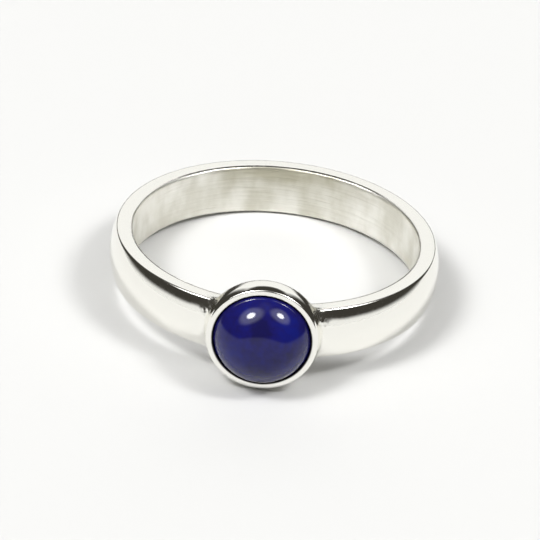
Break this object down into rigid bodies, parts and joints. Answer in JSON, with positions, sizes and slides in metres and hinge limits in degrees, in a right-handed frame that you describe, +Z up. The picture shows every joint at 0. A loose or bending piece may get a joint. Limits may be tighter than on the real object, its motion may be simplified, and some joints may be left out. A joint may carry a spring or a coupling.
{
  "type": "gemstone ring",
  "caption": "Finger ring with a low-domed polished silver band and a round bezel cup that holds a domed, opaque deep-blue cabochon.",
  "frame": {"origin": "middle of the ring's box, on the surface that the ring lies on", "axes": "+Z up; the stone faces -Y and is raised a little, because the ring rests on the cup's lower edge and on the far lower rim; +X to the right of someone who looks at the stone"},
  "size_m": [0.0198, 0.0222, 0.0068],
  "materials": {
    "silver": "polished sterling silver, satin inside the bore",
    "blue_stone": "polished opaque deep-blue stone"
  },
  "bodies": {
    "root": {"band_with_bezel_cup": "silver", "blue_cabochon": "blue_stone"}
  },
  "joints": []
}
